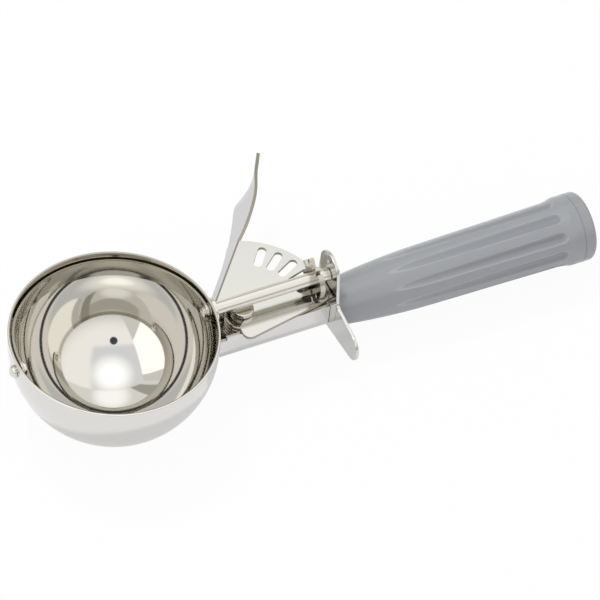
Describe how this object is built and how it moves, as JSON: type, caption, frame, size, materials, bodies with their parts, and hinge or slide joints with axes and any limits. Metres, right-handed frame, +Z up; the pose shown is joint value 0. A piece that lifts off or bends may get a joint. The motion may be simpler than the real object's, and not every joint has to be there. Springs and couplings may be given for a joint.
{
  "type": "lever ice cream scoop",
  "caption": "Hemispherical scoop with a half-ring scraper blade that a thumb lever drives through a slotted sector and pinion, on a trough shank with a finger guard and fluted grip.",
  "frame": {"origin": "centre of the bottom of the bounding box, where the bowl stands", "axes": "+X from the bowl to the end of the grip, +Z up out of the open bowl, +Y to the side of the thumb lever"},
  "size_m": [0.2194, 0.102, 0.0446],
  "materials": {
    "polished_steel": "deep drawn stainless steel, mirror polished",
    "blade_steel": "stainless strip, satin",
    "sheet_steel": "pressed stainless sheet, bright tumbled",
    "plated_steel": "turned steel, bright plated",
    "gear_steel": "machined steel, dull plated",
    "spring_steel": "drawn spring wire",
    "grip_plastic": "injection moulded, satin grey"
  },
  "bodies": {
    "frame": {"bowl": "polished_steel", "shaft_bush": "plated_steel", "front_pivot_pin": "plated_steel", "pivot_washer": "plated_steel", "lever_pin": "plated_steel", "spacer_sleeve": "gear_steel", "return_spring": "spring_steel", "shank": "sheet_steel", "shank_socket": "sheet_steel", "guard_plate": "sheet_steel", "handle": "grip_plastic", "handle_end_cap": "grip_plastic", "tang": "plated_steel", "tang_washer": "plated_steel", "tang_nut": "plated_steel"},
    "lever": {"lever": "sheet_steel"},
    "scraper": {"scraper_shaft": "plated_steel", "pinion": "gear_steel", "scraper_blade": "blade_steel", "blade_washer": "plated_steel", "shaft_retainer": "plated_steel"}
  },
  "joints": [
    {"name": "lever_pivot", "type": "hinge", "parent": "frame", "child": "lever", "pos_m": [-0.02344, -0.01497, 0.02939], "axis": [0, 0, -1], "range_deg": [0, 46], "stiffness_Nm_per_rad": 0.25, "springref_deg": -34.38, "deforming": ["return_spring"]},
    {"name": "scraper_turn", "type": "hinge", "parent": "frame", "child": "scraper", "pos_m": [-0.07164, -0.01497, 0.036], "axis": [-1, 0, 0], "range_deg": [0, 172.5]}
  ],
  "couplings": [
    {"joint": "scraper_turn", "follows": "lever_pivot", "ratio": 3.75}
  ]
}
